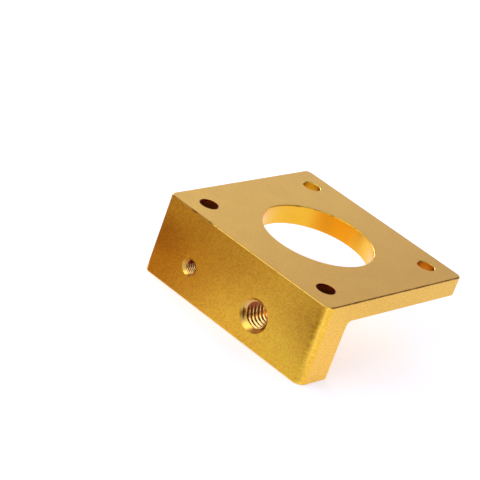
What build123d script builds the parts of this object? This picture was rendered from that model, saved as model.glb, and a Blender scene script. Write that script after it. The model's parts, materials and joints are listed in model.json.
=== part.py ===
from build123d import *
import os

# Motor bracket for a filament extruder, milled from one block of aluminium.
# All sizes are in millimetres.
# The origin is the centre of the pilot bore on the face that meets the motor.
# +Z points out of that face to the motor and +X runs along the flange.
# The flange stands along the -Y edge of the plate and reaches down, away from the motor.

# Pilot bore and the square of motor screw holes round it
pilot_bore_diameter = 22.5
motor_hole_pitch = 31.0
motor_hole_diameter = 3.5

# Plate, with its edges set out from the centres of the screw holes
plate_thickness = 4.2
side_margin = 5.55              # to each side face
back_margin = 5.0               # to the free edge
flange_margin = 5.4             # to the outer face of the flange

# Flange
bracket_height = 16.85          # motor face to the foot of the flange
flange_thickness = 7.85

# Roundings
corner_radius = 1.2             # three of the four upright corners
broad_corner_radius = 2.0       # the upright corner at +X and -Y
inside_radius = 1.0             # where the underside of the plate meets the flange
edge_break = 0.2                # every sharp edge and plain hole mouth

# Tapped hole for the tube fitting, M6 by 1
fitting_tap_drill = 5.0
fitting_mouth_diameter = 6.8
fitting_offset = 6.35           # from the bore centre towards +X

# Tapped hole for the spring screw, M3 by 0.5
spring_screw_tap_drill = 2.5
spring_screw_mouth_diameter = 3.6
spring_screw_offset = 11.1      # from the bore centre towards -X

# How far a cutter runs past the metal
cutter_overrun = 1.0

# Places that follow from the sizes above
half_pitch = motor_hole_pitch / 2
half_width = half_pitch + side_margin
back_edge_reach = half_pitch + back_margin
flange_face_reach = half_pitch + flange_margin
flange_inner_reach = flange_face_reach - flange_thickness
tapped_hole_level = (plate_thickness + bracket_height) / 2


def angle_section():
    """L-shaped section across the bracket, looking along X."""
    outline = Polyline(
        (-flange_face_reach, 0),
        (back_edge_reach, 0),
        (back_edge_reach, -plate_thickness),
        (-flange_inner_reach, -plate_thickness),
        (-flange_inner_reach, -bracket_height),
        (-flange_face_reach, -bracket_height),
        close=True,
    )
    section = make_face(outline)
    inside_corner = section.vertices().sort_by_distance((-flange_inner_reach, -plate_thickness))[0]
    return fillet(inside_corner, inside_radius)


def blank():
    """The section drawn out to the full width, with its upright corners rounded."""
    block = extrude(Plane.YZ * angle_section(), amount=half_width, both=True)
    uprights = block.edges().filter_by(Axis.Z)
    broad_corner = uprights.sort_by_distance((half_width, -flange_face_reach, 0))[0]
    block = fillet(broad_corner, broad_corner_radius)
    for x, y in (
        (-half_width, -flange_face_reach),
        (-half_width, back_edge_reach),
        (half_width, back_edge_reach),
    ):
        corner = block.edges().filter_by(Axis.Z).sort_by_distance((x, y, 0))[0]
        block = fillet(corner, corner_radius)
    return block


def break_edges(block):
    """A small chamfer along the outlines of the motor face, the foot and the underside."""
    level_faces = block.faces().filter_by(Axis.Z)
    motor_face = level_faces.sort_by(Axis.Z)[-1]
    foot = level_faces.sort_by(Axis.Z)[0]
    underside = level_faces.sort_by(Axis.Z)[1]
    root_line = underside.edges().filter_by(Axis.X).sort_by(Axis.Y)[0]
    free_edges = underside.edges() - ShapeList([root_line])
    return chamfer(motor_face.edges() + foot.edges() + free_edges, edge_break)


def hole_cutter(diameter, mouth_diameter, depth):
    """A drill with a 45 degree countersink at both mouths of a hole from z = 0 down to -depth."""
    radius = diameter / 2
    flare = mouth_diameter / 2 - radius
    wide = mouth_diameter / 2 + cutter_overrun
    half_profile = Polyline(
        (0, cutter_overrun),
        (wide, cutter_overrun),
        (radius, -flare),
        (radius, flare - depth),
        (wide, -depth - cutter_overrun),
        (0, -depth - cutter_overrun),
        close=True,
    )
    return revolve(Plane.XZ * make_face(half_profile), Axis.Z)


def plain_hole(diameter, depth):
    """A plain hole whose two mouths have the same edge break as the outline."""
    return hole_cutter(diameter, diameter + 2 * edge_break, depth)


def pilot_bore():
    """The round opening that centres the bracket on the boss of the motor."""
    return plain_hole(pilot_bore_diameter, plate_thickness)


def motor_holes():
    """Four screw holes: two through the plate, two down through the whole flange."""
    cutters = []
    for x in (-half_pitch, half_pitch):
        cutters.append(Pos(x, half_pitch, 0) * plain_hole(motor_hole_diameter, plate_thickness))
        cutters.append(Pos(x, -half_pitch, 0) * plain_hole(motor_hole_diameter, bracket_height))
    return cutters


def tapped_hole(tap_drill, mouth_diameter, x):
    """A countersunk tap drill across the flange, entered from its outer face."""
    cutter = hole_cutter(tap_drill, mouth_diameter, flange_thickness)
    return Pos(x, -flange_face_reach, -tapped_hole_level) * Rot(90, 0, 0) * cutter


def motor_bracket():
    body = break_edges(blank())
    body -= pilot_bore()
    for cutter in motor_holes():
        body -= cutter
    body -= tapped_hole(fitting_tap_drill, fitting_mouth_diameter, fitting_offset)
    body -= tapped_hole(spring_screw_tap_drill, spring_screw_mouth_diameter, -spring_screw_offset)
    return body


os.makedirs("parts", exist_ok=True)
export_step(motor_bracket(), "parts/motor_bracket.step")
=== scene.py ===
import bmesh
import bpy
import json
import math
import numpy as np
from mathutils import Matrix, Vector


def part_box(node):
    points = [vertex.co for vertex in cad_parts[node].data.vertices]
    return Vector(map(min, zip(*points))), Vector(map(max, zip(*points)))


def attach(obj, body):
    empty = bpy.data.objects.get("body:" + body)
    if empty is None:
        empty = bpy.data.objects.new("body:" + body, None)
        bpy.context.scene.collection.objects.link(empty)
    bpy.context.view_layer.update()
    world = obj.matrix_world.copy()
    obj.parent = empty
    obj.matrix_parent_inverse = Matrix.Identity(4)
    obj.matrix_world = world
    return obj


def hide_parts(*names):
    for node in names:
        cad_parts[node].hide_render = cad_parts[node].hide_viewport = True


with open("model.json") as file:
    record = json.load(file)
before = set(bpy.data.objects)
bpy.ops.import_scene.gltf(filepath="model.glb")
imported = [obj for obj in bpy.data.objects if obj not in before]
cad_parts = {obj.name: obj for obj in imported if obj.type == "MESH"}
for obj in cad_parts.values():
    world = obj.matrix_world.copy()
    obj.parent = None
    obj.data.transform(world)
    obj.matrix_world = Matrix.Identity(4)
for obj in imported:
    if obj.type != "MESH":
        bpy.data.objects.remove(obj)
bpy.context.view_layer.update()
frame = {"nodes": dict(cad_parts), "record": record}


# The milled block
# One block of aluminium, milled to an L-shaped section, with the bore and the screw holes drilled.
# Its faces, roundings and edge breaks are the solid's own, joined up into one closed skin.
node_name = "motor_bracket"
joining_distance = 1e-6


def joined_copy(node, name):
    """A new object with the node's mesh, its loose triangles joined where their corners meet."""
    mesh = node.data.copy()
    mesh.name = name
    work = bmesh.new()
    work.from_mesh(mesh)
    bmesh.ops.remove_doubles(work, verts=work.verts, dist=joining_distance)
    work.to_mesh(mesh)
    work.free()
    piece = bpy.data.objects.new(name, mesh)
    bpy.context.scene.collection.objects.link(piece)
    return piece


bracket = joined_copy(frame["nodes"][node_name], "bracket")


# The two tapped holes
# Each is countersunk on both sides of the flange and threaded right through with a tap.
# The tools are made here as closed surfaces and then taken away from the block.
millimetre = 0.001
mounts = {mount["name"]: mount for mount in frame["record"]["mounts"]}
low_corner, high_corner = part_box(node_name)
thread_pitches = {"fitting_hole": 1.0 * millimetre, "spring_screw_hole": 0.5 * millimetre}
thread_height_share = 0.5413    # of the pitch, from the root of the thread to its crest
root_flat_share = 0.125         # of the pitch
flank_slope = math.tan(math.radians(30))
tool_columns = 96
tool_clearance = 0.01 * millimetre
turns_outside = 2               # of the tap, past each face of the flange


def made_of(name, points, faces):
    """An object made of the points and faces, with every face turned outwards."""
    mesh = bpy.data.meshes.new(name)
    mesh.from_pydata(points.tolist(), [], faces)
    work = bmesh.new()
    work.from_mesh(mesh)
    bmesh.ops.recalc_face_normals(work, faces=work.faces)
    work.to_mesh(mesh)
    work.free()
    made = bpy.data.objects.new(name, mesh)
    bpy.context.scene.collection.objects.link(made)
    return made


def across_flange(along, radius, angle, mount):
    """Points of a tool: a distance in from the flange's outer face, a radius and an angle.
    The angle turns right-handed about the way in, so x is the radius times its cosine and z is
    minus the radius times its sine, both from the axis of the hole."""
    centre_x, _, centre_z = mount["pos_m"]
    along, radius, angle = np.broadcast_arrays(along, radius, angle)
    return np.stack([
        centre_x + radius * np.cos(angle),
        low_corner.y + along,
        centre_z - radius * np.sin(angle),
    ], axis=-1).reshape(-1, 3)


def flange_thickness(mount):
    """Twice the depth of the middle of the hole's wall below the flange's outer face."""
    return 2 * (mount["pos_m"][1] - low_corner.y)


def drill_radius(mount):
    """The radius of the hole's plain wall, and the clearance of a tool."""
    return mount["dims"]["r_mm"] * millimetre + tool_clearance


def mouth_radius(mount):
    """The drill's radius and the depth of one right-angled countersink, which is half of what the
    plain wall falls short of the flange's thickness."""
    wall_length = mount["dims"]["length_mm"] * millimetre
    return drill_radius(mount) + (flange_thickness(mount) - wall_length) / 2


def tap(name, mount, pitch):
    """A tap as one spiral surface that closes on its axis at both ends.
    One pitch of the thread's outline, radius against advance, is carried round the axis and
    moves on by the pitch in a turn, so the last column of a row meets the first column of the
    row one turn on."""
    wall_radius = drill_radius(mount)
    root_radius = wall_radius + thread_height_share * pitch
    half_root = root_flat_share * pitch / 2
    half_groove = half_root + (root_radius - wall_radius) * flank_slope
    outline_along = np.array([-half_groove, -half_root, half_root, half_groove])
    outline_radius = np.array([wall_radius, root_radius, root_radius, wall_radius])
    per_turn = len(outline_along)
    rows = per_turn * (math.ceil(flange_thickness(mount) / pitch) + 2 * turns_outside)
    row = np.arange(rows)[:, None]
    column = np.arange(tool_columns)[None, :]
    turn = row // per_turn - turns_outside + column / tool_columns
    along = turn * pitch + outline_along[row % per_turn]
    angle = 2 * np.pi * column / tool_columns
    points = across_flange(along, outline_radius[row % per_turn], angle, mount)

    index = row * tool_columns + column
    walls = np.stack([index[:-1, :-1], index[:-1, 1:], index[1:, 1:], index[1:, :-1]], axis=-1)
    seam = np.stack([
        index[: rows - 1 - per_turn, -1],
        index[per_turn:-1, 0],
        index[per_turn + 1 :, 0],
        index[1 : rows - per_turn, -1],
    ], axis=-1)
    start_rim = np.concatenate([index[0], index[per_turn::-1, 0]])[:-1]
    end_rim = np.concatenate([index[-1], index[: -per_turn - 2 : -1, -1][1:]])
    middles = [
        across_flange(along[rim // tool_columns, rim % tool_columns].mean(), 0, 0, mount)
        for rim in (start_rim, end_rim)
    ]
    faces = walls.reshape(-1, 4).tolist() + seam.tolist()
    for rim, middle_index in ((start_rim, len(points)), (end_rim, len(points) + 1)):
        faces += [[int(a), int(b), middle_index] for a, b in zip(rim, np.roll(rim, -1))]
    return made_of(name, np.concatenate([points, *middles]), faces)


def countersink(name, mount, side):
    """A right-angled cone that starts wide outside one face of the flange and ends in a point
    on the axis: its radius is the mouth's radius less the depth below that face."""
    mouth = mouth_radius(mount)
    overrun = mouth / 2
    angle = 2 * np.pi * np.arange(tool_columns) / tool_columns
    depth = np.array([-overrun, -overrun, mouth])
    along = depth if side == "outer" else flange_thickness(mount) - depth
    rim = across_flange(along[0], mouth + overrun, angle, mount)
    ends = across_flange(along[1:], 0, 0, mount)
    here = np.arange(tool_columns)
    following = np.roll(here, -1)
    flat_end = np.stack([here, following, np.full(tool_columns, tool_columns)], axis=-1)
    cone = np.stack([here, following, np.full(tool_columns, tool_columns + 1)], axis=-1)
    return made_of(name, np.concatenate([rim, ends]), flat_end.tolist() + cone.tolist())


def cut_away(piece, tools):
    """Takes each tool's volume away from the piece and throws the tool away."""
    for tool in tools:
        cut = piece.modifiers.new(tool.name, "BOOLEAN")
        cut.operation = "DIFFERENCE"
        cut.solver = "MANIFOLD"
        cut.object = tool
    finished = piece.evaluated_get(bpy.context.evaluated_depsgraph_get())
    finished_mesh = bpy.data.meshes.new_from_object(finished)
    piece.modifiers.clear()
    piece.data = finished_mesh
    for tool in tools:
        bpy.data.objects.remove(tool)


for hole_name, pitch in thread_pitches.items():
    hole = mounts[hole_name]
    cut_away(bracket, [
        tap(hole_name + "_tap", hole, pitch),
        countersink(hole_name + "_outer_mouth", hole, "outer"),
        countersink(hole_name + "_inner_mouth", hole, "inner"),
    ])


# The broken edges
# Every sharp edge and plain hole mouth is broken by a narrow cut at 45 degrees. The cut is in the
# mesh, and the normals are set here so that light turns over it as over a small rounding.
smooth_limit_cosine = math.cos(math.radians(40))
diagonal_tolerance = 0.01       # of a unit normal's component
plane_step = 1e-3               # of a normal's component, and of a plane's level in millimetres
across_y = [0, 2]               # the coordinates across a hole that runs along y
across_z = [0, 1]               # and across one that runs along z


def face_arrays(mesh):
    """The mesh's face normals, centres and areas as arrays."""
    count = len(mesh.polygons)
    normal, centre, area = np.empty((count, 3)), np.empty((count, 3)), np.empty(count)
    mesh.polygons.foreach_get("normal", normal.ravel())
    mesh.polygons.foreach_get("center", centre.ravel())
    mesh.polygons.foreach_get("area", area)
    return normal, centre, area


def in_hole(centre, name, across, mouth):
    """True for faces that lie nearer to the axis of the hole than its mouth does."""
    axis = np.array(mounts[name]["pos_m"])
    return np.linalg.norm(centre[:, across] - axis[across], axis=1) < mouth


def in_tapped_hole(centre):
    """True for faces in either tapped hole or its countersinks."""
    return np.any([
        in_hole(centre, name, across_y, mouth_radius(mounts[name])) for name in thread_pitches
    ], axis=0)


def is_diagonal(component):
    """True where one component of the unit normals is that of a slope of 45 degrees."""
    return np.abs(np.abs(component) - math.sqrt(0.5)) < diagonal_tolerance


def is_edge_break(normal, centre):
    """True for faces that slope by 45 degrees between a level face and an upright one: the edge
    breaks, and also the middle facet of the rounded root under the plate."""
    return is_diagonal(normal[:, 2]) & ~in_tapped_hole(centre)


def corners_that_meet(vertex):
    """Every pair of face corners at one vertex, as two arrays of corner numbers. The corners are
    sorted by their vertex, and each is paired in turn with the whole run of its own vertex."""
    order = np.argsort(vertex, kind="stable")
    at_vertex = np.bincount(vertex)
    run_start = np.concatenate([[0], np.cumsum(at_vertex)[:-1]])
    partners = at_vertex[vertex]
    own = np.repeat(np.arange(len(vertex)), partners)
    step = np.arange(len(own)) - np.repeat(np.cumsum(partners) - partners, partners)
    return own, order[run_start[vertex[own]] + step]


def set_corner_normals(mesh):
    """Shades flats flat, round walls round, and each broken edge as a small rounding.
    The normal at a face's corner is the sum of the normals of the faces there that turn from it by
    less than 40 degrees, or of all faces there on a broken edge. Each counts by the area of the
    whole plane that it lies in, so that a flat keeps its own normal up to its border."""
    normal, centre, area = face_arrays(mesh)
    level = (normal * centre).sum(axis=1, keepdims=True) / millimetre
    planes = (np.hstack([normal, level]) / plane_step).round()
    plane = np.unique(planes, axis=0, return_inverse=True)[1].ravel()
    weight = np.bincount(plane, area)[plane]
    rounded = is_edge_break(normal, centre)

    vertex = np.empty(len(mesh.loops), np.int32)
    mesh.loops.foreach_get("vertex_index", vertex)
    sides = np.empty(len(mesh.polygons), np.int32)
    mesh.polygons.foreach_get("loop_total", sides)
    face = np.repeat(np.arange(len(sides)), sides)
    own, other = corners_that_meet(vertex)
    own_face, other_face = face[own], face[other]
    alike = (normal[own_face] * normal[other_face]).sum(axis=1) > smooth_limit_cosine
    joined = (alike | rounded[own_face]) * weight[other_face]
    total = np.stack([np.bincount(own, joined * normal[other_face, k]) for k in range(3)], axis=1)
    total /= np.linalg.norm(total, axis=1, keepdims=True)
    mesh.polygons.foreach_set("use_smooth", np.ones(len(mesh.polygons), bool))
    mesh.normals_split_custom_set(total.tolist())


set_corner_normals(bracket.data)


# The finish
# Blasted to a fine even grain and anodised gold: dyed metal under a thin clear layer. Broken edges
# and countersinks are a brighter, paler gold. The bore, the drilled holes and the threads have
# finishes of their own. The mottle, cloudy tone, flaws and cutter's marks are the metal's own; the
# other shades are painted shade and painted light. The colour is browner where it is darker.


class Wire:
    """An output of a shader node. Arithmetic on it adds Math nodes to its material."""

    def __init__(self, shading, socket):
        self.shading = shading
        self.socket = socket

    def math(self, operation, first, second):
        return self.shading.node("ShaderNodeMath", {"operation": operation}, {0: first, 1: second})

    def __add__(self, other):
        return self.math("ADD", self, other)

    __radd__ = __add__

    def __mul__(self, other):
        return self.math("MULTIPLY", self, other)

    __rmul__ = __mul__

    def __sub__(self, other):
        return self.math("SUBTRACT", self, other)

    def __rsub__(self, other):
        return self.math("SUBTRACT", other, self)

    def __pow__(self, other):
        return self.math("POWER", self, other)


class Shading:
    """The node tree of a material or world."""

    def __init__(self, owner):
        owner.use_nodes = True
        self.tree = owner.node_tree
        self.tree.nodes.clear()

    def node(self, kind, settings=None, inputs=None, output=0):
        """Adds a node, makes its settings, fills its inputs with numbers or wires, and gives
        the wire of one output."""
        made = self.tree.nodes.new(kind)
        for key, value in (settings or {}).items():
            setattr(made, key, value)
        for key, value in (inputs or {}).items():
            if isinstance(value, Wire):
                self.tree.links.new(value.socket, made.inputs[key])
            else:
                made.inputs[key].default_value = value
        return Wire(self, made.outputs[output]) if made.outputs else made


def smooth_step(value, low, high):
    """Rises smoothly from 0 at low to 1 at high."""
    return value.shading.node("ShaderNodeMapRange", {"interpolation_type": "SMOOTHSTEP"}, {
        "Value": value, "From Min": low, "From Max": high, "To Min": 0.0, "To Max": 1.0,
    })


def rise(coordinate, start, end):
    """Rises smoothly from 0 to 1 as a coordinate goes from start to end, both in millimetres."""
    return smooth_step(coordinate, start * millimetre, end * millimetre)


def noise(place, size, stretch=(1.0, 1.0, 1.0), detail=2.0):
    """Noise about 0, about 1 high from low to high, its grains of the given size in metres and
    drawn out along each axis by the given factor."""
    drawn = place.shading.node("ShaderNodeVectorMath", {"operation": "DIVIDE"}, {0: place, 1: stretch})
    field = place.shading.node("ShaderNodeTexNoise", {"noise_dimensions": "3D"}, {
        "Vector": drawn, "Scale": 1 / size, "Detail": detail, "Roughness": 0.6,
    })
    return (field - 0.5) * 2


def coordinates(place, axes="XYZ"):
    """The three coordinates of a place in metres, or those that are named."""
    return [place.shading.node("ShaderNodeSeparateXYZ", {}, {0: place}, output=axis) for axis in axes]


level_stretch = (1.3, 1.3, 1.0)     # grains are a little longer along the level
cloud_size = 6 * millimetre
cloud_depth = 0.06
roughness_of_grain = 0.04
roughness_of_clouds = 0.03
coat_index = 1.5


def anodised_gold(name, metal, browning, roughness, coat, grain_sizes, shade_of):
    """Dyed metal under its clear layer. Its grain has a width and a height in metres, and
    shade_of gives the factor for the shade of the metal's colour at a place. Darker gold is
    browner: green and blue are darkened by the factor to the power of the browning."""
    grain_width, grain_height = grain_sizes
    material = bpy.data.materials.new(name)
    shading = Shading(material)
    place = shading.node("ShaderNodeTexCoord", output="Object")
    grain = noise(place, grain_width, level_stretch)
    clouds = noise(place, cloud_size)
    shade = (1 + clouds * cloud_depth) * shade_of(place)
    bumps = shading.node("ShaderNodeBump", {}, {
        "Strength": 1.0, "Distance": grain_height, "Height": grain,
    })
    browner = shade ** browning
    # The factor for each channel: the metal's own tone together with painted shade and light
    tone_and_painted_shade = shading.node("ShaderNodeCombineXYZ", {}, {"X": shade, "Y": browner, "Z": browner})
    colour = shading.node("ShaderNodeVectorMath", {"operation": "MULTIPLY"}, {0: metal, 1: tone_and_painted_shade})
    surface = shading.node("ShaderNodeBsdfPrincipled", {}, {
        "Base Color": colour,
        "Metallic": 1.0,
        "Roughness": roughness + grain * roughness_of_grain + clouds * roughness_of_clouds,
        "Coat Weight": browner * coat,
        "Coat Roughness": roughness,
        "Coat IOR": coat_index,
        "Normal": bumps,
    })
    shading.node("ShaderNodeOutputMaterial", {}, {"Surface": surface})
    return material


def at_motor_face(z):
    """1 on the motor face and its edge break, 0 just below them."""
    return rise(z, -0.3, -0.2)


mottle_size = 0.3 * millimetre
cutter_mark_stretch = (5.0, 5.0, 1.0)
raggedness = 1.4 * millimetre   # of the line where the cutter's marks end


def blasted_shade(place):
    """Finely mottled, calmer on the motor face, with darker level marks of the cutter along the first
    part of the broad corner. Painted shade makes the motor face a little darker towards +X and the
    flange darker towards its top and in a band across its end at -X. Painted light makes the flange
    lighter low down and towards its end at +X."""
    x, y, z = coordinates(place)
    on_face = at_motor_face(z)
    mottle = noise(place, mottle_size, level_stretch, detail=1.0)
    mottle_depth = 0.26 - on_face * 0.14

    cutter_marks = noise(place, mottle_size, cutter_mark_stretch, detail=1.0)
    corner_start = rise(x, 18.6, 19.3) * rise(y, -18.8, -19.1)
    ragged_end = rise(x + cutter_marks * raggedness, 20.1, 20.7)
    corner_shade = corner_start * (1 - ragged_end) * (1 - on_face) * cutter_marks * 0.4

    # Painted shade on the motor face, and painted shade and light on the flange
    painted_face_shade = on_face * rise(x, -12.0, 21.0) * 0.09
    upper = rise(z, -13.0, -3.0)
    far_end = rise(x, 4.0, 15.0)
    painted_dark_band = rise(x, -11.0, -19.0) * rise(z, -13.5, -9.5) * (1 - rise(z, -6.5, -2.0))
    on_flange = rise(y, -20.4, -20.7)
    painted_flange_light_and_shade = on_flange * (upper * 0.13 - far_end * 0.06 + painted_dark_band * 0.19 - 0.05)
    return (1 + mottle * mottle_depth) * (1 - (corner_shade + painted_face_shade + painted_flange_light_and_shade))


flaw_size = 1.2 * millimetre
patch_size = 3.0 * millimetre
patch_reach = 8.0 * millimetre  # of the ragged end of the dark first part of the front edge
# Where the painted shade on the lower right of a countersink starts and is full, in millimetres
# down its diagonal
painted_shade_of_mouth = {"fitting_hole": (2.2, 3.4), "spring_screw_hole": (1.2, 1.8)}


def cut_shade(place):
    """Along the edges of the motor face there are small darker flaws. Painted shade makes the edge at
    +X and the first part of the edge over the flange darker, and the lower right of each countersink,
    down a diagonal that is measured from the axis of the hole."""
    x, y, z = coordinates(place)
    flaws = smooth_step(noise(place, flaw_size), 0.1, 0.4)
    patches = noise(place, patch_size)
    right_edge = rise(x, 20.6, 20.8)
    first_part = rise(x + patches * patch_reach, -9.0, -11.0)
    front_edge = rise(y, -20.5, -20.7) * first_part
    # The flaws are the edges' own; the darker edges at +X and over the flange are painted shade
    edge_flaws_and_painted_shade = (right_edge + front_edge) * (0.55 + patches * 0.35) + flaws * 0.3

    below_the_axis = rise(z, -11.0, -11.4)
    above_the_foot = rise(z, -15.5, -15.0)
    # Painted shade in the lower right of each countersink
    painted_low_right = 0.0
    for name, (start, full) in painted_shade_of_mouth.items():
        centre_x, _, centre_z = mounts[name]["pos_m"]
        aside = x - centre_x
        diagonal = aside - (z - centre_z)
        painted_low_right += rise(diagonal, start, full) * (1 - rise(aside, 4.0, 5.0))
    painted_mouth_shade = painted_low_right * below_the_axis * above_the_foot * 0.6
    return 1 - at_motor_face(z) * edge_flaws_and_painted_shade - painted_mouth_shade


def drilled_shade(place):
    """Painted shade: the two long holes through the flange are darker, most of all at their mouths,
    and so is the short one at +X, a little."""
    x, y, z = coordinates(place)
    through_flange = rise(y, -12.0, -13.0)
    at_mouth = rise(z, -0.35, -0.15)
    painted_long_hole_shade = through_flange * (0.20 + at_mouth * 0.65)
    painted_short_hole_shade = (1 - through_flange) * rise(x, -1.0, 1.0) * 0.07
    return 1 - painted_long_hole_shade - painted_short_hole_shade


def threaded_shade(place):
    """Painted shade: red-brown in the upper half of the hole, past its first turn, and darker all
    round in the smaller of the two."""
    x, y, z = coordinates(place)
    smaller = rise(x, -4.0, -5.0)
    upper = rise(z, -11.4, -10.4)
    past_first_turn = rise(y, -20.1, -19.3)
    painted_upper_shade = upper * past_first_turn * (0.55 + smaller * 0.2)
    return 1 - painted_upper_shade - smaller * 0.15


blasted_grain = (0.25 * millimetre, 0.03 * millimetre)
tooled_grain = (0.5 * millimetre, 0.004 * millimetre)
deep_gold = (0.92, 0.525, 0.02)
# Name, colour of the metal, browning, roughness, coat, grain, shade
finishes = (
    ("blasted_gold", deep_gold, 1.6, 0.42, 0.8, blasted_grain, blasted_shade),
    ("cut_gold", (0.93, 0.58, 0.09), 1.4, 0.30, 0.25, tooled_grain, cut_shade),
    ("bored_gold", deep_gold, 1.6, 0.30, 0.6, tooled_grain, cut_shade),
    ("drilled_gold", (0.88, 0.60, 0.07), 3.5, 0.30, 0.8, tooled_grain, drilled_shade),
    ("threaded_gold", (0.94, 0.62, 0.20), 2.0, 0.18, 0.15, tooled_grain, threaded_shade),
)
blasted, cut, bored, drilled, threaded = range(len(finishes))
edge_break = 0.2 * millimetre
rim_margin = 0.01 * millimetre


def finish_of_faces(mesh):
    """The number of each face's finish in the list above. The later rules go over the earlier.
    The test for a countersink also takes in the middle facet of each upright corner, and the one
    for an edge break that of the rounded root, so these facets are brighter than their corners."""
    normal, centre, _ = face_arrays(mesh)
    past_wall = edge_break + rim_margin
    screws = mounts["motor_bolts"]["dims"]
    from_screw = np.abs(centre[:, :2]) - screws["spacing_x_mm"] * millimetre / 2
    in_screw_hole = np.linalg.norm(from_screw, axis=1) < screws["hole_r_mm"] * millimetre + past_wall
    bore_radius = mounts["pilot_bore"]["dims"]["r_mm"] * millimetre
    in_bore = in_hole(centre, "pilot_bore", across_z, bore_radius + past_wall)
    sloped_to_flange = is_diagonal(normal[:, 1])
    finish = np.full(len(normal), blasted, np.int32)
    finish[is_edge_break(normal, centre) | sloped_to_flange] = cut
    finish[in_bore] = bored
    finish[in_screw_hole] = drilled
    finish[in_tapped_hole(centre) & ~sloped_to_flange] = threaded
    return finish


bracket.data.materials.clear()
for finish in finishes:
    bracket.data.materials.append(anodised_gold(*finish))
bracket.data.polygons.foreach_set("material_index", finish_of_faces(bracket.data))
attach(bracket, "root")
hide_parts(node_name)


# The floor
# A plain white round table, level with the foot of the flange, whose rim rises as a backdrop. It
# shines a little for the camera and in the metal, so that it looks white and keeps the shadow.
floor_radii = (1.5, 1.7, 1.85, 1.95, 2.0)
floor_heights = (0.0, 0.012, 0.05, 0.12, 0.24)
floor_columns = 64
floor_glow = 0.42
white = (0.75, 0.75, 0.75, 1.0)


def plain(name, colour, glow=0.0):
    """A matt material that also shines by the given strength where it is seen or mirrored."""
    material = bpy.data.materials.new(name)
    shading = Shading(material)
    shine = {}
    if glow:
        rays = ("Is Camera Ray", "Is Glossy Ray", "Is Transmission Ray")
        seen = sum(shading.node("ShaderNodeLightPath", output=ray) for ray in rays)
        shine = {"Emission Color": seen, "Emission Strength": glow}
    matt = shading.node("ShaderNodeBsdfPrincipled", {}, {
        "Base Color": colour, "Roughness": 1.0, "Specular IOR Level": 0.0, **shine,
    })
    shading.node("ShaderNodeOutputMaterial", {}, {"Surface": matt})
    return material


def staged(made, material):
    """Gives a surface its material."""
    made.data.materials.append(material)
    return made


def grid_faces(rows, columns, closed):
    """Four-sided faces between rows of points, the last column joined to the first if closed."""
    row = np.arange(rows - 1)[:, None]
    column = np.arange(columns if closed else columns - 1)[None, :]
    following = (column + 1) % columns
    return np.stack([
        row * columns + column, row * columns + following,
        (row + 1) * columns + following, (row + 1) * columns + column,
    ], axis=-1).reshape(-1, 4).tolist()


def round_table(name, radii, heights):
    """A profile of radii and heights turned about the z axis, its middle one flat face."""
    angle = 2 * np.pi * np.arange(floor_columns) / floor_columns
    radius, height = np.array(radii)[:, None], np.array(heights)[:, None]
    points = np.stack(np.broadcast_arrays(
        radius * np.cos(angle), radius * np.sin(angle), low_corner.z + height,
    ), axis=-1).reshape(-1, 3)
    middle_face = list(range(floor_columns))
    return made_of(name, points, [middle_face] + grid_faces(len(radii), floor_columns, True))


staged(round_table("floor", floor_radii, floor_heights), plain("white_floor", white, floor_glow))


# The cards
# Four cards that show only in the metal, all matt but one. One lies before the flange, brown at its
# left end and white at its right end, and a white one, which also glows a little in the metal, lies
# beyond the bracket at the right. A low brown one stands before the right end of the flange, and a
# tall dark one far behind darkens the right edge.
foot_level = low_corner.z / millimetre
card_level = foot_level + 0.1
near_brown = (0.37, 0.145, 0.006, 1.0)
far_brown = (0.29, 0.23, 0.17, 1.0)
bright_white = (0.85, 0.85, 0.85, 1.0)
dark_brown = (0.16, 0.06, 0.02, 1.0)
near_black = (0.03, 0.03, 0.03, 1.0)


def card(name, first_row, second_row, material):
    """A strip of four-sided faces between two rows of points, in millimetres, that shows only in
    the metal."""
    points = np.array([*first_row, *second_row], float) * millimetre
    made = staged(made_of(name, points, grid_faces(2, len(first_row), False)), material)
    made.visible_camera = False
    made.visible_diffuse = False
    made.visible_shadow = False


def mixed(factor, first, second):
    """The first colour where the factor is 0 and the second where it is 1. Sockets 6 and 7 are the
    Mix node's two colours, and output 2 is their mixture."""
    return factor.shading.node("ShaderNodeMix", {"data_type": "RGBA"}, {
        0: factor, 6: first, 7: second,
    }, output=2)


def faded_card():
    """White at its right end and brown at its left end, which is greyer away from the bracket."""
    material = bpy.data.materials.new("faded_card")
    shading = Shading(material)
    place = shading.node("ShaderNodeTexCoord", output="Object")
    x, y = coordinates(place, "XY")
    brown = mixed(rise(y, -34, -62), near_brown, far_brown)
    colour = mixed(rise(x, -22, 3), brown, bright_white)
    matt = shading.node("ShaderNodeBsdfDiffuse", {}, {"Color": colour})
    shading.node("ShaderNodeOutputMaterial", {}, {"Surface": matt})
    return material


faded_card_far_edge = -180
faded_card_near_edge = ((-140, -10), (-24, -10), (-23, -21), (26, -21))
card(
    "faded_card",
    [(x, faded_card_far_edge, card_level) for x, y in faded_card_near_edge],
    [(x, y, card_level) for x, y in faded_card_near_edge],
    faded_card(),
)
right_card_glow = 0.18
card(
    "right_card",
    [(28, 10, card_level), (130, 10, card_level)],
    [(28, 110, card_level), (130, 110, card_level)],
    plain("right_card", white, right_card_glow),
)
low_dark_card_top = -5
card(
    "low_dark_card",
    [(7, -36, foot_level), (30, -36, foot_level)],
    [(7, -36, low_dark_card_top), (30, -36, low_dark_card_top)],
    plain("low_dark_card", dark_brown),
)
dark_card_distance = 220
dark_card_bottom, dark_card_top = 40, 340
dark_card_azimuths = np.radians([5, 30, 55, 80, 96])
dark_card_x = dark_card_distance * np.cos(dark_card_azimuths)
dark_card_y = dark_card_distance * np.sin(dark_card_azimuths)
card(
    "dark_card",
    [(x, y, dark_card_bottom) for x, y in zip(dark_card_x, dark_card_y)],
    [(x, y, dark_card_top) for x, y in zip(dark_card_x, dark_card_y)],
    plain("dark_card", near_black),
)


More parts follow.
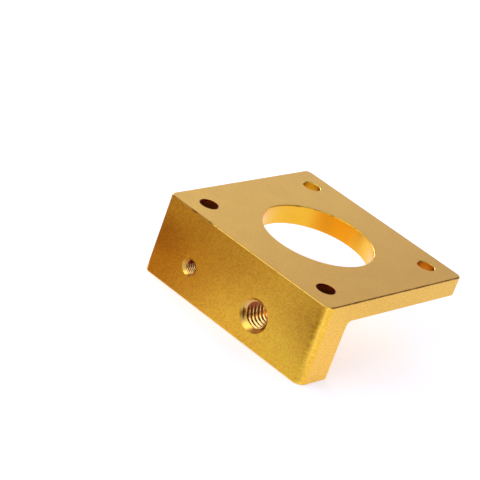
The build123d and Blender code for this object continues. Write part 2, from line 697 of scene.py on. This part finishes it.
# The light
# A plain white room, a little blue, and three soft square lamps: a wide one high in front of the
# flange, and two narrower ones low behind and at the left.
room_colour = (0.98, 1.0, 1.25, 1.0)
room_strength = 0.65
lamp_distance = 0.4
middle = (low_corner + high_corner) / 2


def white_room():
    """A world of one colour."""
    world = bpy.data.worlds.new("white_room")
    shading = Shading(world)
    sky = shading.node("ShaderNodeBackground", {}, {"Color": room_colour, "Strength": room_strength})
    shading.node("ShaderNodeOutputWorld", {}, {"Surface": sky})
    return world


def soft_lamp(name, azimuth, elevation, side, power):
    """A square area lamp that faces the middle of the bracket from a direction in degrees,
    the azimuth turning from +X to +Y. Its side is in metres and its power in watts."""
    data = bpy.data.lights.new(name, "AREA")
    data.shape = "SQUARE"
    data.size = side
    data.energy = power
    azimuth, elevation = math.radians(azimuth), math.radians(elevation)
    way = Vector((
        math.cos(elevation) * math.cos(azimuth),
        math.cos(elevation) * math.sin(azimuth),
        math.sin(elevation),
    ))
    lamp = bpy.data.objects.new(name, data)
    lamp.location = middle + lamp_distance * way
    lamp.rotation_mode = "QUATERNION"
    lamp.rotation_quaternion = way.to_track_quat("Z", "Y")
    bpy.context.scene.collection.objects.link(lamp)


bpy.context.scene.world = white_room()
soft_lamp("front_lamp", azimuth=-110, elevation=38, side=0.42, power=0.6)
soft_lamp("back_lamp", azimuth=75, elevation=8, side=0.2, power=0.35)
soft_lamp("left_lamp", azimuth=161, elevation=14, side=0.2, power=0.75)


# The camera
# It stands where the photograph was taken from, and is rolled as the photograph is.
photo_side = 480
focal_length_px = 2186.3
camera_place = Vector((0.20491, -0.32179, 0.16887))
to_the_right = Vector((0.69145, 0.65112, 0.31295))
downwards = Vector((0.50640, -0.12790, -0.85276))

camera_data = bpy.data.cameras.new("camera")
camera_data.sensor_width = 36.0
camera_data.lens = camera_data.sensor_width * focal_length_px / photo_side
camera = bpy.data.objects.new("camera", camera_data)
right = to_the_right.normalized()
back = right.cross(-downwards).normalized()
up = back.cross(right)
camera.matrix_world = Matrix.Translation(camera_place) @ Matrix((right, up, back)).transposed().to_4x4()
bpy.context.scene.collection.objects.link(camera)
bpy.context.scene.camera = camera

bpy.context.scene.view_settings.view_transform = "Standard"
